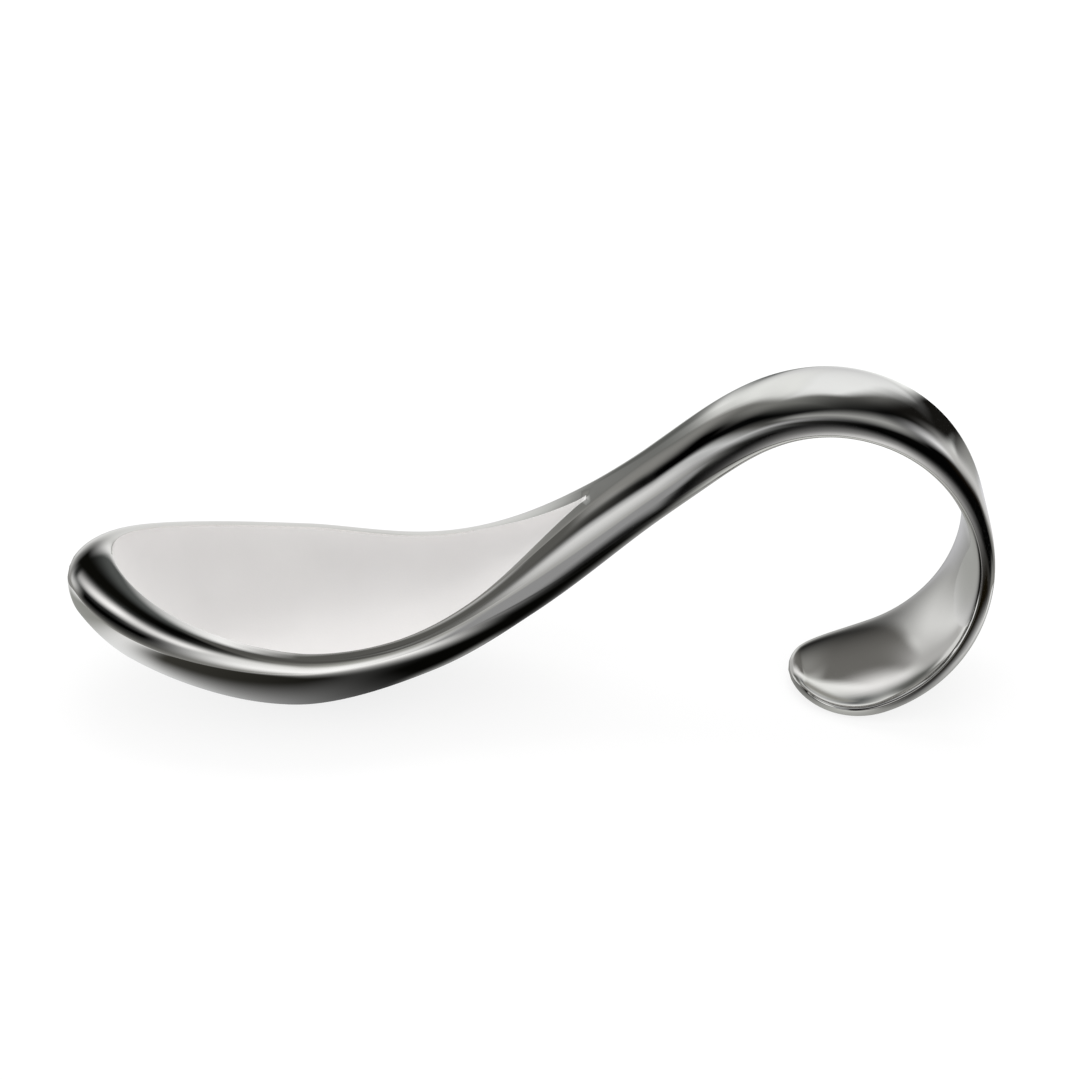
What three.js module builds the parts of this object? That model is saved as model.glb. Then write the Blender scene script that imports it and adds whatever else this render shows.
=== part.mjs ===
// Amuse bouche spoon: a small bowl whose heel rises into a short thick neck,
// and a handle that rolls over into an open finger loop. The bowl's belly and
// the underside of the loop stand on the table together. The whole spoon is one
// piece of stainless steel, so it is one solid.
//
// Millimetres. X runs from the bowl's nose to the loop, Y across, Z up.
// The spoon is drawn as a flat blank and then bent: a point is given by its
// place along the spine, its distance across, and its height above the blank's
// middle plane. Positive heights are the face that the bowl is sunk into.

import * as THREE from 'three';

// Lengths along the spine
const bowlLength = 68.3;         // nose to the end of the heel
const handleLength = 94.6;       // end of the heel to the free end
const rampLength = 12.3;         // straight stretch of neck before the loop

// Bends of the spine, in degrees; positive turns lift it
const noseTurn = 15.2;
const noseBendLength = 18.5;
const noseBendOverhang = 8.0;    // the nose's bend was cut off at the outline
const bellyTurn = 18.1;
const bellyBendLength = 52.9;
const heelTurn = 29.9;
const heelBendStart = 33.0;
const heelBendLength = 38.6;
const loopTurn = -227.4;         // the handle rolls over and back under itself
const loopEaseLength = 12.2;     // the loop tightens to its radius over this
const tailTurn = -7.8;           // the free end curls in a little more
const tailBendLength = 26.3;

// Outline of the flat blank
const bowlWidth = 34.3;
const bowlWidestPlace = 29.0;    // from the nose
const nosePower = 1.96;          // 2 is an ellipse
const shoulderPower = 0.85;      // below 1 the bowl narrows sooner
const neckWidth = 11.3;
const neckPlace = 7.2;           // beyond the heel
const tipWidth = 20.0;           // the free end flares like a spatula
const tipRoundLength = 11.2;

// Face side: a rolled edge, then a level land
const noseRimHeight = 4.4;
const rimHeight = 1.11;
const neckFaceHeight = 3.17;
const loopFaceHeight = 3.15;
const tipFaceHeight = 1.09;
const noseRollWidth = 4.3;
const rimRollWidth = 1.9;
const neckRollWidth = 4.0;
const loopRollWidth = 7.0;       // the handle is domed nearly right across here
const tipRollWidth = 2.1;
const largestRollShare = 0.88;   // of half the width; the rest of the face is level
// Squareness of the rolled edge's section: 2 is a quarter ellipse, more is squarer
const noseRollSquareness = 1.67;
const rimRollSquareness = 2.37;
const neckRollSquareness = 1.72;
const loopRollSquareness = 2.65;
const tipRollSquareness = 1.72;

// Back side: depth of the keel below the middle plane
const noseDepth = 3.1;
const throatDepth = 8.3;
const bellyDepth = 11.9;
const heelDepth = 8.4;
const neckDepth = 5.26;
const rampDepth = 3.79;
const crownDepth = 3.01;
const loopDepth = 1.54;
const tailDepth = 1.91;
const tipDepth = 1.07;
const noseBluntness = 2.6;       // length over which the keel drops at the nose
const tipBluntness = 1.7;
// Power of the back's section: 0.5 is an ellipse, less is squarer
const noseFullness = 0.88;
const bowlFullness = 0.62;
const handleFullness = 0.3;
const loopFullness = 0.19;

// The dish sunk into the bowl's face
const floorThickness = 2.2;
const dishFullness = 0.75;
const dishFallLength = 16.0;     // from the nose's rim the dish reaches its floor over this
const dishEndPlace = 68.0;       // the dish runs out in a point here
const dishRiseLength = 28.0;     // its floor rises to that point over this
const dishClosingLength = 18.0;  // and its sides draw in to it over this
const dishClosingPower = 0.85;   // 1 is a sharp ogive, less is rounder
const dishEndHalfWidth = 0.4;

// Flats ground under the belly and under the loop, where the spoon stands
const standingFlatDepth = 0.25;

// Fineness of the faceted surface
const stationCount = 104;
const rollSteps = 8;
const dishSteps = 10;
const backSteps = 22;
const openFaceShare = 0.8;       // beyond the dish, the inner points share the face
const endCrowding = 0.6;         // how much closer stations lie at the two ends
const spineStep = 0.25;
const outlineStep = 0.01;        // over which the outline's direction is taken
const weldDistance = 0.001;      // points this close are made one
const tiltRounds = 5;

const steelColor = 0xc9c8c4;
const steelRoughness = 0.08;

const spoonLength = bowlLength + handleLength;
const degree = Math.PI / 180;

const clamp01 = (t) => Math.min(Math.max(t, 0), 1);
const smooth = (t) => clamp01(t) ** 2 * (3 - 2 * clamp01(t));
const mix = (a, b, t) => a + (b - a) * t;

// A value along the spine that passes through [place, value] pairs without
// swinging past them (monotone cubic)
function profile(pairs) {
  const gaps = pairs.slice(1).map((p, i) => p[0] - pairs[i][0]);
  const slopes = pairs.slice(1).map((p, i) => (p[1] - pairs[i][1]) / gaps[i]);
  const tangents = pairs.map((p, i) => {
    if (i === 0) return slopes[0];
    if (i === pairs.length - 1) return slopes[i - 1];
    if (slopes[i - 1] * slopes[i] <= 0) return 0;
    const before = 2 * gaps[i] + gaps[i - 1];
    const after = gaps[i] + 2 * gaps[i - 1];
    return (before + after) / (before / slopes[i - 1] + after / slopes[i]);
  });
  return (place) => {
    if (place <= pairs[0][0]) return pairs[0][1];
    let i = 0;
    while (i < gaps.length - 1 && place > pairs[i + 1][0]) i += 1;
    const t = Math.min((place - pairs[i][0]) / gaps[i], 1);
    return (2 * t ** 3 - 3 * t ** 2 + 1) * pairs[i][1]
      + (t ** 3 - 2 * t ** 2 + t) * gaps[i] * tangents[i]
      + (3 * t ** 2 - 2 * t ** 3) * pairs[i + 1][1]
      + (t ** 3 - t ** 2) * gaps[i] * tangents[i + 1];
  };
}

// Direction of the spine, in degrees from its direction at the nose's bend
function spineSlope(s) {
  const noseBend = smooth((s + noseBendOverhang) / (noseBendLength + noseBendOverhang));
  const bellyBend = smooth(s / bellyBendLength);
  const heelBend = smooth((s - heelBendStart) / heelBendLength);
  const loopStart = bowlLength + rampLength;
  const intoLoop = Math.max(s - loopStart, 0);
  const eased = intoLoop < loopEaseLength
    ? intoLoop ** 2 / (2 * loopEaseLength)
    : intoLoop - loopEaseLength / 2;
  const loopBend = eased / (spoonLength - loopStart - loopEaseLength / 2);
  const tailBend = clamp01((s - spoonLength + tailBendLength) / tailBendLength) ** 2;
  return noseTurn * noseBend + bellyTurn * bellyBend
    + heelTurn * heelBend + loopTurn * loopBend + tailTurn * tailBend;
}

// The spine in the X-Z plane, added up in short steps
const spine = [{ x: 0, z: 0 }];
for (let s = 0; s < spoonLength; s += spineStep) {
  const last = spine[spine.length - 1];
  const slope = spineSlope(s + spineStep / 2) * degree;
  spine.push({ x: last.x + spineStep * Math.cos(slope), z: last.z + spineStep * Math.sin(slope) });
}

function bend(place, across, height) {
  const i = Math.min(Math.floor(place / spineStep), spine.length - 2);
  const t = place / spineStep - i;
  const slope = spineSlope(place) * degree;
  return new THREE.Vector3(
    mix(spine[i].x, spine[i + 1].x, t) - height * Math.sin(slope),
    across,
    mix(spine[i].z, spine[i + 1].z, t) + height * Math.cos(slope),
  );
}

// Half the blank's width
function halfWidth(s) {
  const neckAt = bowlLength + neckPlace;
  if (s < bowlWidestPlace) {
    const t = 1 - s / bowlWidestPlace;
    return (bowlWidth / 2) * Math.sqrt(Math.max(1 - t ** nosePower, 0));
  }
  if (s < neckAt) {
    const t = (s - bowlWidestPlace) / (neckAt - bowlWidestPlace);
    return mix(bowlWidth / 2, neckWidth / 2, smooth(t ** shoulderPower));
  }
  const flare = smooth((s - neckAt) / (spoonLength - tipRoundLength - neckAt));
  const round = clamp01((s - spoonLength + tipRoundLength) / tipRoundLength);
  return mix(neckWidth / 2, tipWidth / 2, flare) * Math.sqrt(1 - round ** 2);
}

// Unit direction that points inward from the outline, for across > 0
function inward(s) {
  if (s <= 0) return { along: 1, across: 0 };
  if (s >= spoonLength) return { along: -1, across: 0 };
  const h = Math.min(outlineStep, s / 2, (spoonLength - s) / 2);
  const growth = (halfWidth(s + h) - halfWidth(s - h)) / (2 * h);
  const length = Math.hypot(growth, 1);
  return { along: growth / length, across: -1 / length };
}

const alongHandle = (share) => bowlLength + share * handleLength;
const alongBowl = (share) => share * bowlLength;

const faceHeight = profile([
  [0, noseRimHeight], [alongBowl(0.6), rimHeight], [bowlLength, neckFaceHeight],
  [alongHandle(0.3), loopFaceHeight], [alongHandle(0.6), tipFaceHeight],
  [spoonLength, tipFaceHeight],
]);
const rollWidth = profile([
  [0, noseRollWidth], [alongBowl(0.6), rimRollWidth], [bowlLength, neckRollWidth],
  [alongHandle(0.3), loopRollWidth], [spoonLength, tipRollWidth],
]);
const rollSquareness = profile([
  [0, noseRollSquareness], [alongBowl(0.6), rimRollSquareness], [bowlLength, neckRollSquareness],
  [alongHandle(0.3), loopRollSquareness], [spoonLength, tipRollSquareness],
]);
const keelDepth = profile([
  [0, noseDepth], [alongBowl(0.14), throatDepth], [alongBowl(0.4), bellyDepth],
  [alongBowl(0.64), heelDepth], [alongBowl(0.82), neckDepth], [bowlLength, rampDepth],
  [alongHandle(0.15), crownDepth], [alongHandle(0.35), loopDepth],
  [alongHandle(0.68), tailDepth], [spoonLength, tipDepth],
]);
const backFullness = profile([
  [0, noseFullness], [alongBowl(0.6), bowlFullness], [alongBowl(1.05), handleFullness],
  [alongHandle(0.4), loopFullness], [spoonLength, loopFullness],
]);

// 0 at the end of a rounded stretch and 1 where it is over
const rounded = (distance, length) => Math.sqrt(1 - (1 - clamp01(distance / length)) ** 2);

// Height of the dish below its lip, at a share of the way from the middle
function dishHeight(s, share) {
  if (s <= noseRollWidth || s >= dishEndPlace) return 0;
  const depth = keelDepth(s) + faceHeight(s) - floorThickness;
  const fall = (1 - (1 - clamp01((s - noseRollWidth) / dishFallLength)) ** 2) ** dishFullness;
  const rise = 1 - clamp01((s - dishEndPlace + dishRiseLength) / dishRiseLength) ** 2;
  return -depth * fall * rise * (1 - share ** 2) ** dishFullness;
}

// One closed ring of points across the blank at a station: over the face from
// the far edge to the near edge, then back under the keel
function ring(s) {
  const half = halfWidth(s);
  const normal = inward(s);
  const top = faceHeight(s);
  const widest = normal.across < 0 ? (largestRollShare * half) / -normal.across : Infinity;
  const roll = Math.min(rollWidth(s), widest);
  const power = 2 / rollSquareness(s);
  const side = [];
  for (let k = 0; k <= rollSteps; k += 1) {
    const turn = (k / rollSteps) * (Math.PI / 2);
    const inset = roll * (1 - Math.cos(turn) ** power);
    side.push({
      place: s + inset * normal.along,
      across: half + inset * normal.across,
      height: top * Math.sin(turn) ** power,
    });
  }
  const edge = side[rollSteps];
  const closing = clamp01((edge.place - dishEndPlace + dishClosingLength) / dishClosingLength);
  const drawnIn = edge.across * (1 - closing ** 2) ** dishClosingPower;
  const lip = Math.min(edge.across, Math.max(drawnIn, dishEndHalfWidth));
  const points = side.map((p) => bend(p.place, p.across, p.height));
  for (let k = 0; k <= dishSteps; k += 1) {
    const share = Math.cos((k / dishSteps) * Math.PI);
    const across = (edge.place < dishEndPlace ? lip : edge.across * openFaceShare) * share;
    points.push(bend(edge.place, across, top + dishHeight(edge.place, share)));
  }
  for (const p of side.slice().reverse()) points.push(bend(p.place, -p.across, p.height));
  const depth = keelDepth(s) * rounded(s, noseBluntness) * rounded(spoonLength - s, tipBluntness);
  for (let k = 1; k < backSteps; k += 1) {
    const share = -Math.cos((k / backSteps) * Math.PI);
    points.push(bend(s, half * share, -depth * (1 - share ** 2) ** backFullness(s)));
  }
  return points;
}

// Stations lie closer together towards the nose and the free end
function stations() {
  const places = [];
  for (let i = 0; i <= stationCount; i += 1) {
    const t = i / stationCount;
    places.push(spoonLength * mix(t, (1 - Math.cos(Math.PI * t)) / 2, endCrowding));
  }
  return places;
}

// Skin over the rings, with points in the same place made one and the
// triangles that this closes up left out
function skin(rings) {
  const positions = [];
  const numbers = new Map();
  const number = (p) => {
    const key = [p.x, p.y, p.z].map((value) => Math.round(value / weldDistance) + 0).join();
    if (!numbers.has(key)) {
      numbers.set(key, positions.length / 3);
      positions.push(p.x, p.y, p.z);
    }
    return numbers.get(key);
  };
  const grid = rings.map((points) => points.map(number));
  const triangles = [];
  const add = (a, b, c) => {
    if (a !== b && b !== c && c !== a) triangles.push(a, b, c);
  };
  for (let i = 0; i < grid.length - 1; i += 1) {
    for (let k = 0; k < grid[i].length; k += 1) {
      const next = (k + 1) % grid[i].length;
      add(grid[i][k], grid[i][next], grid[i + 1][next]);
      add(grid[i][k], grid[i + 1][next], grid[i + 1][k]);
    }
  }
  return { positions, triangles };
}

// Tilt the bent spoon until the belly and the loop touch the table together
function stand(places, rings) {
  const lowest = (inPart) => rings.filter((points, i) => inPart(places[i])).flat()
    .reduce((low, p) => (p.z < low.z ? p : low));
  const acrossSpoon = new THREE.Vector3(0, 1, 0);
  for (let round = 0; round < tiltRounds; round += 1) {
    const belly = lowest((s) => s < bowlLength);
    const loop = lowest((s) => s > bowlLength + handleLength / 2);
    const tilt = Math.atan2(loop.z - belly.z, loop.x - belly.x);
    for (const p of rings.flat()) p.applyAxisAngle(acrossSpoon, tilt);
  }
}

const places = stations();
const rings = places.map(ring);
stand(places, rings);
const surface = skin(rings);

// Put the table at height 0, grind the two flats level with it, and bring the
// middle of the spoon's box over the origin
const box = new THREE.Box3().setFromArray(surface.positions);
const ground = box.min.z + standingFlatDepth;
for (let i = 0; i < surface.positions.length; i += 3) {
  surface.positions[i] -= (box.min.x + box.max.x) / 2;
  surface.positions[i + 2] = Math.max(surface.positions[i + 2] - ground, 0);
}

const geometry = new THREE.BufferGeometry();
geometry.setAttribute('position', new THREE.Float32BufferAttribute(surface.positions, 3));
geometry.setIndex(surface.triangles);
geometry.computeVertexNormals();

const steel = new THREE.MeshStandardMaterial({
  color: steelColor,
  roughness: steelRoughness,
  metalness: 1,
});
const spoon = new THREE.Mesh(geometry, steel);
spoon.name = 'spoon';

const group = new THREE.Group();
group.add(spoon);

export default group;
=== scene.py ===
# Amuse bouche spoon, one piece of polished stainless steel, in a small product studio.
# X runs from the bowl's nose to the finger loop, Y across the spoon and away from the
# camera, Z up. Lengths are written in millimetres, and the scene is in metres.

import math

import bmesh
import bpy
from mathutils import Matrix, Vector


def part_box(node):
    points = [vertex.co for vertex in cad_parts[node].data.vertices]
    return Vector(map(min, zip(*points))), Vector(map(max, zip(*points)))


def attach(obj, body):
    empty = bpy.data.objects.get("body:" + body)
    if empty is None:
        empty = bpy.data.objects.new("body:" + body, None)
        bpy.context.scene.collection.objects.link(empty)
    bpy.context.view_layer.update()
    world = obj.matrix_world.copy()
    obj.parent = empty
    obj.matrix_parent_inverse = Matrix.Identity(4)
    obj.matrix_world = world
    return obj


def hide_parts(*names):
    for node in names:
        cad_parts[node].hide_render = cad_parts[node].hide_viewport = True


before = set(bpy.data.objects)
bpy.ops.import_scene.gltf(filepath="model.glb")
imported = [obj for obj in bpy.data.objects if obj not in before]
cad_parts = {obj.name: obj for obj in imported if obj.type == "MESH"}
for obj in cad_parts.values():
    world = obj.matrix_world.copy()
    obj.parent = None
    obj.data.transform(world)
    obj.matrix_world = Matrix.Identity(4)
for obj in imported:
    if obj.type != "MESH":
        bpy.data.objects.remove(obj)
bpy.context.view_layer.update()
millimetre = 0.001
print("frame loaded:", sorted(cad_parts))


def linearColor(hexColor):
    # sRGB hex such as "#c9c8c4" to the linear colour that the shaders want
    channels = [int(hexColor[i:i + 2], 16) / 255 for i in (1, 3, 5)]
    return [c / 12.92 if c <= 0.04045 else ((c + 0.055) / 1.055) ** 2.4 for c in channels] + [1]


def addNode(tree, kind, links=None, out=0, **settings):
    # one node with its settings; an input takes a value or another node's output, and
    # without an output to give back, the node itself is given back
    node = tree.nodes.new(kind)
    for name, value in settings.items():
        setattr(node, name, value)
    for socket, value in (links or {}).items():
        if isinstance(value, bpy.types.NodeSocket):
            tree.links.new(value, node.inputs[socket])
        else:
            node.inputs[socket].default_value = value
    return node if out is None else node.outputs[out]


# Camera: the photograph's view, 30 degrees above the table, square to the spoon

cameraView = {
    "elevation": 30.25,
    "distance": 414.9,       # from the point that it aims at
    "aimRight": 1.53,        # the aim is this far right of and above the origin, in the image
    "aimUp": 17.31,
    "lens": 111.5,
}


def addCamera(view):
    tilt = math.radians(view["elevation"])
    forward = Vector((0, math.cos(tilt), -math.sin(tilt)))
    up = Vector((0, math.sin(tilt), math.cos(tilt)))
    right = Vector((1, 0, 0))
    place = right * view["aimRight"] + up * view["aimUp"] - forward * view["distance"]
    data = bpy.data.cameras.new("camera")
    data.lens = view["lens"]
    camera = bpy.data.objects.new("camera", data)
    turn = Matrix((right, up, -forward)).transposed().to_4x4()
    camera.matrix_world = Matrix.Translation(place * millimetre) @ turn
    bpy.context.scene.collection.objects.link(camera)
    bpy.context.scene.camera = camera


addCamera(cameraView)
print("camera placed")


# Spoon: a flat blank whose section changes along a spine, bent along that spine

spoonShape = {
    "bowlLength": 68.3, "handleLength": 94.6, "rampLength": 12.3,
    "noseTurn": 15.2, "noseBendLength": 18.5, "noseBendOverhang": 8.0,
    "bellyTurn": 18.1, "bellyBendLength": 52.9,
    "heelTurn": 29.9, "heelBendStart": 33.0, "heelBendLength": 38.6,
    "loopTurn": -227.4, "loopEaseLength": 12.2,
    "tailTurn": -7.8, "tailBendLength": 26.3,
    "bowlWidth": 34.3, "bowlWidestPlace": 29.0, "nosePower": 1.96, "shoulderPower": 0.85,
    "neckWidth": 11.3, "neckPlace": 7.2, "tipWidth": 20.0, "tipRoundLength": 11.2,
    "noseRimHeight": 4.4, "rimHeight": 1.11, "neckFaceHeight": 3.17,
    "loopFaceHeight": 3.15, "tipFaceHeight": 1.09,
    "noseRollWidth": 4.3, "rimRollWidth": 1.9, "neckRollWidth": 4.0,
    "loopRollWidth": 7.0, "tipRollWidth": 2.1,
    "largestRollShare": 0.88,
    "noseRollSquareness": 1.67, "rimRollSquareness": 2.37, "neckRollSquareness": 1.72,
    "loopRollSquareness": 2.65, "tipRollSquareness": 1.72,
    "noseDepth": 3.1, "throatDepth": 8.3, "bellyDepth": 11.9, "heelDepth": 8.4,
    "neckDepth": 5.26, "rampDepth": 3.79, "crownDepth": 3.01, "loopDepth": 1.54,
    "tailDepth": 1.91, "tipDepth": 1.07, "noseBluntness": 2.6, "tipBluntness": 1.7,
    "noseFullness": 0.88, "bowlFullness": 0.62, "handleFullness": 0.3, "loopFullness": 0.19,
    "floorThickness": 2.2, "dishFullness": 0.75, "dishFallLength": 16.0,
    "dishEndPlace": 68.0, "dishRiseLength": 28.0, "dishClosingLength": 18.0,
    "dishClosingPower": 0.85, "dishEndHalfWidth": 0.4,
    "standingFlatDepth": 0.25, "openFaceShare": 0.8,
    # where values of the section hold: shares of the bowl's length from the nose, and
    # shares of the handle's length from the neck
    "throatShare": 0.14, "bellyShare": 0.4, "rimShare": 0.6, "heelShare": 0.64,
    "neckShare": 0.82, "handleBackShare": 1.05,
    "crownShare": 0.15, "loopFaceShare": 0.3, "loopShare": 0.35, "loopBackShare": 0.4,
    "tipFaceShare": 0.6, "tailShare": 0.68,
}
spoonFineness = {
    "stations": 320, "endCrowding": 0.6, "rollSteps": 20, "dishSteps": 44, "backSteps": 44,
    "spineStep": 0.25, "outlineStep": 0.01, "tiltRounds": 6, "weldDistance": 0.002,
}


def clamp01(t):
    return min(max(t, 0), 1)


def smooth(t):
    return clamp01(t) ** 2 * (3 - 2 * clamp01(t))


def mix(a, b, t):
    return a + (b - a) * t


def profile(pairs):
    # a value along the spine that passes through (place, value) pairs without swinging past
    gaps = [after[0] - before[0] for before, after in zip(pairs, pairs[1:])]
    slopes = [(after[1] - before[1]) / gap for before, after, gap in zip(pairs, pairs[1:], gaps)]
    tangents = [slopes[0]]
    for i in range(1, len(slopes)):
        if slopes[i - 1] * slopes[i] <= 0:
            tangents.append(0)
            continue
        before = 2 * gaps[i] + gaps[i - 1]
        after = gaps[i] + 2 * gaps[i - 1]
        tangents.append((before + after) / (before / slopes[i - 1] + after / slopes[i]))
    tangents.append(slopes[-1])

    def valueAt(place):
        i = 0
        while i < len(gaps) - 1 and place > pairs[i + 1][0]:
            i += 1
        t = clamp01((place - pairs[i][0]) / gaps[i])
        return ((2 * t ** 3 - 3 * t ** 2 + 1) * pairs[i][1]
                + (t ** 3 - 2 * t ** 2 + t) * gaps[i] * tangents[i]
                + (3 * t ** 2 - 2 * t ** 3) * pairs[i + 1][1]
                + (t ** 3 - t ** 2) * gaps[i] * tangents[i + 1])

    return valueAt


def spineSlope(shape, place):
    # the spine's direction in degrees, before the spoon is tilted to stand
    spoonLength = shape["bowlLength"] + shape["handleLength"]
    overhang = shape["noseBendOverhang"]
    noseBend = smooth((place + overhang) / (shape["noseBendLength"] + overhang))
    bellyBend = smooth(place / shape["bellyBendLength"])
    heelBend = smooth((place - shape["heelBendStart"]) / shape["heelBendLength"])
    loopStart = shape["bowlLength"] + shape["rampLength"]
    ease = shape["loopEaseLength"]
    intoLoop = max(place - loopStart, 0)
    eased = intoLoop ** 2 / (2 * ease) if intoLoop < ease else intoLoop - ease / 2
    loopBend = eased / (spoonLength - loopStart - ease / 2)
    tail = shape["tailBendLength"]
    tailBend = clamp01((place - spoonLength + tail) / tail) ** 2
    return (shape["noseTurn"] * noseBend + shape["bellyTurn"] * bellyBend
            + shape["heelTurn"] * heelBend + shape["loopTurn"] * loopBend
            + shape["tailTurn"] * tailBend)


def halfWidth(shape, place):
    # half the blank's width: bowl, shoulders, then the handle's flare and its round tip
    spoonLength = shape["bowlLength"] + shape["handleLength"]
    widest = shape["bowlWidestPlace"]
    neckAt = shape["bowlLength"] + shape["neckPlace"]
    if place < widest:
        t = 1 - place / widest
        return shape["bowlWidth"] / 2 * math.sqrt(max(1 - t ** shape["nosePower"], 0))
    if place < neckAt:
        t = (place - widest) / (neckAt - widest)
        return mix(shape["bowlWidth"], shape["neckWidth"], smooth(t ** shape["shoulderPower"])) / 2
    roundLength = shape["tipRoundLength"]
    flare = smooth((place - neckAt) / (spoonLength - roundLength - neckAt))
    endRound = clamp01((place - spoonLength + roundLength) / roundLength)
    return mix(shape["neckWidth"], shape["tipWidth"], flare) / 2 * math.sqrt(1 - endRound ** 2)


def inward(shape, place, outlineStep):
    # unit direction that points inward from the outline, as (along, across)
    spoonLength = shape["bowlLength"] + shape["handleLength"]
    if place <= 0:
        return 1, 0
    if place >= spoonLength:
        return -1, 0
    step = min(outlineStep, place / 2, (spoonLength - place) / 2)
    growth = (halfWidth(shape, place + step) - halfWidth(shape, place - step)) / (2 * step)
    length = math.hypot(growth, 1)
    return growth / length, -1 / length


def rounded(distance, length):
    # 0 at the end of a rounded stretch and 1 where it is over
    return math.sqrt(1 - (1 - clamp01(distance / length)) ** 2)


def stationValues(shape, fineness):
    # what the section is like at each station along the spoon
    bowl, handle = shape["bowlLength"], shape["handleLength"]
    spoonLength = bowl + handle
    rim = shape["rimShare"] * bowl
    loopFace = bowl + shape["loopFaceShare"] * handle
    faceHeight = profile([
        (0, shape["noseRimHeight"]), (rim, shape["rimHeight"]), (bowl, shape["neckFaceHeight"]),
        (loopFace, shape["loopFaceHeight"]),
        (bowl + shape["tipFaceShare"] * handle, shape["tipFaceHeight"]),
        (spoonLength, shape["tipFaceHeight"])])
    rollWidth = profile([
        (0, shape["noseRollWidth"]), (rim, shape["rimRollWidth"]), (bowl, shape["neckRollWidth"]),
        (loopFace, shape["loopRollWidth"]), (spoonLength, shape["tipRollWidth"])])
    rollSquareness = profile([
        (0, shape["noseRollSquareness"]), (rim, shape["rimRollSquareness"]),
        (bowl, shape["neckRollSquareness"]), (loopFace, shape["loopRollSquareness"]),
        (spoonLength, shape["tipRollSquareness"])])
    keelDepth = profile([
        (0, shape["noseDepth"]), (shape["throatShare"] * bowl, shape["throatDepth"]),
        (shape["bellyShare"] * bowl, shape["bellyDepth"]),
        (shape["heelShare"] * bowl, shape["heelDepth"]),
        (shape["neckShare"] * bowl, shape["neckDepth"]), (bowl, shape["rampDepth"]),
        (bowl + shape["crownShare"] * handle, shape["crownDepth"]),
        (bowl + shape["loopShare"] * handle, shape["loopDepth"]),
        (bowl + shape["tailShare"] * handle, shape["tailDepth"]),
        (spoonLength, shape["tipDepth"])])
    backFullness = profile([
        (0, shape["noseFullness"]), (rim, shape["bowlFullness"]),
        (shape["handleBackShare"] * bowl, shape["handleFullness"]),
        (bowl + shape["loopBackShare"] * handle, shape["loopFullness"]),
        (spoonLength, shape["loopFullness"])])
    dishStart, dishEnd = shape["noseRollWidth"], shape["dishEndPlace"]
    closingLength, riseLength = shape["dishClosingLength"], shape["dishRiseLength"]
    values = []
    for i in range(fineness["stations"] + 1):
        t = i / fineness["stations"]
        place = spoonLength * mix(t, (1 - math.cos(math.pi * t)) / 2, fineness["endCrowding"])
        half = halfWidth(shape, place)
        inAlong, inAcross = inward(shape, place, fineness["outlineStep"])
        face, roll = faceHeight(place), rollWidth(place)
        if inAcross < 0:
            roll = min(roll, shape["largestRollShare"] * half / -inAcross)
        edgePlace, edgeAcross = place + roll * inAlong, half + roll * inAcross
        closing = clamp01((edgePlace - dishEnd + closingLength) / closingLength)
        drawnIn = edgeAcross * (1 - closing ** 2) ** shape["dishClosingPower"]
        lip = min(edgeAcross, max(drawnIn, shape["dishEndHalfWidth"]))
        dishDepth = 0
        if edgePlace >= dishEnd:
            lip = edgeAcross * shape["openFaceShare"]
        elif edgePlace > dishStart:
            fall = 1 - (1 - clamp01((edgePlace - dishStart) / shape["dishFallLength"])) ** 2
            rise = 1 - clamp01((edgePlace - dishEnd + riseLength) / riseLength) ** 2
            fullDepth = keelDepth(edgePlace) + faceHeight(edgePlace) - shape["floorThickness"]
            dishDepth = fullDepth * fall ** shape["dishFullness"] * rise
        depth = (keelDepth(place) * rounded(place, shape["noseBluntness"])
                 * rounded(spoonLength - place, shape["tipBluntness"]))
        values.append({
            "outline": (place, half, roll),
            "inward": (inAlong, inAcross, 2 / rollSquareness(place)),
            "heights": (face, depth, backFullness(place)),
            "dish": (lip, dishDepth, 1 if dishDepth > 0 else 0),
        })
    return values


def sectionValues(fineness):
    # one ring of points, as shares of the section's sizes: over the face from the far
    # edge to the near edge, then back under the keel
    values = []
    for k in range(fineness["rollSteps"] + 1):
        turn = k / fineness["rollSteps"] * math.pi / 2
        values.append({"rim": (math.cos(turn), math.sin(turn), 1), "bowl": (0, 0, 0),
                       "back": (0, 0, 0)})
    nearRim = [dict(v, rim=(v["rim"][0], v["rim"][1], -1)) for v in reversed(values)]
    for k in range(fineness["dishSteps"] + 1):
        share = math.cos(k / fineness["dishSteps"] * math.pi)
        values.append({"rim": (0, 1, 0), "bowl": (share, 1 - share ** 2, 1), "back": (0, 0, 0)})
    values += nearRim
    for k in range(1, fineness["backSteps"]):
        share = -math.cos(k / fineness["backSteps"] * math.pi)
        values.append({"rim": (1, 0, 0), "bowl": (0, 0, 0), "back": (share, 1 - share ** 2, 0)})
    return values + values[:1]


def bentSpine(shape, fineness):
    # the spine as (x, z, slope) in short steps from the nose
    step = fineness["spineStep"]
    spoonLength = shape["bowlLength"] + shape["handleLength"]
    points = [(0, 0, math.radians(spineSlope(shape, 0)))]
    for i in range(math.ceil(spoonLength / step) + 1):
        middle = math.radians(spineSlope(shape, (i + 0.5) * step))
        x, z, _ = points[-1]
        ahead = math.radians(spineSlope(shape, (i + 1) * step))
        points.append((x + step * math.cos(middle), z + step * math.sin(middle), ahead))
    return points


def pointsObject(name, places, attributes):
    # vertices that carry named vectors for the tree to sample
    mesh = bpy.data.meshes.new(name)
    mesh.from_pydata(places, [], [])
    for attribute, vectors in attributes.items():
        layer = mesh.attributes.new(attribute, "FLOAT_VECTOR", "POINT")
        layer.data.foreach_set("vector", [c for vector in vectors for c in vector])
    obj = bpy.data.objects.new(name, mesh)
    bpy.context.scene.collection.objects.link(obj)
    return obj


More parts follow.
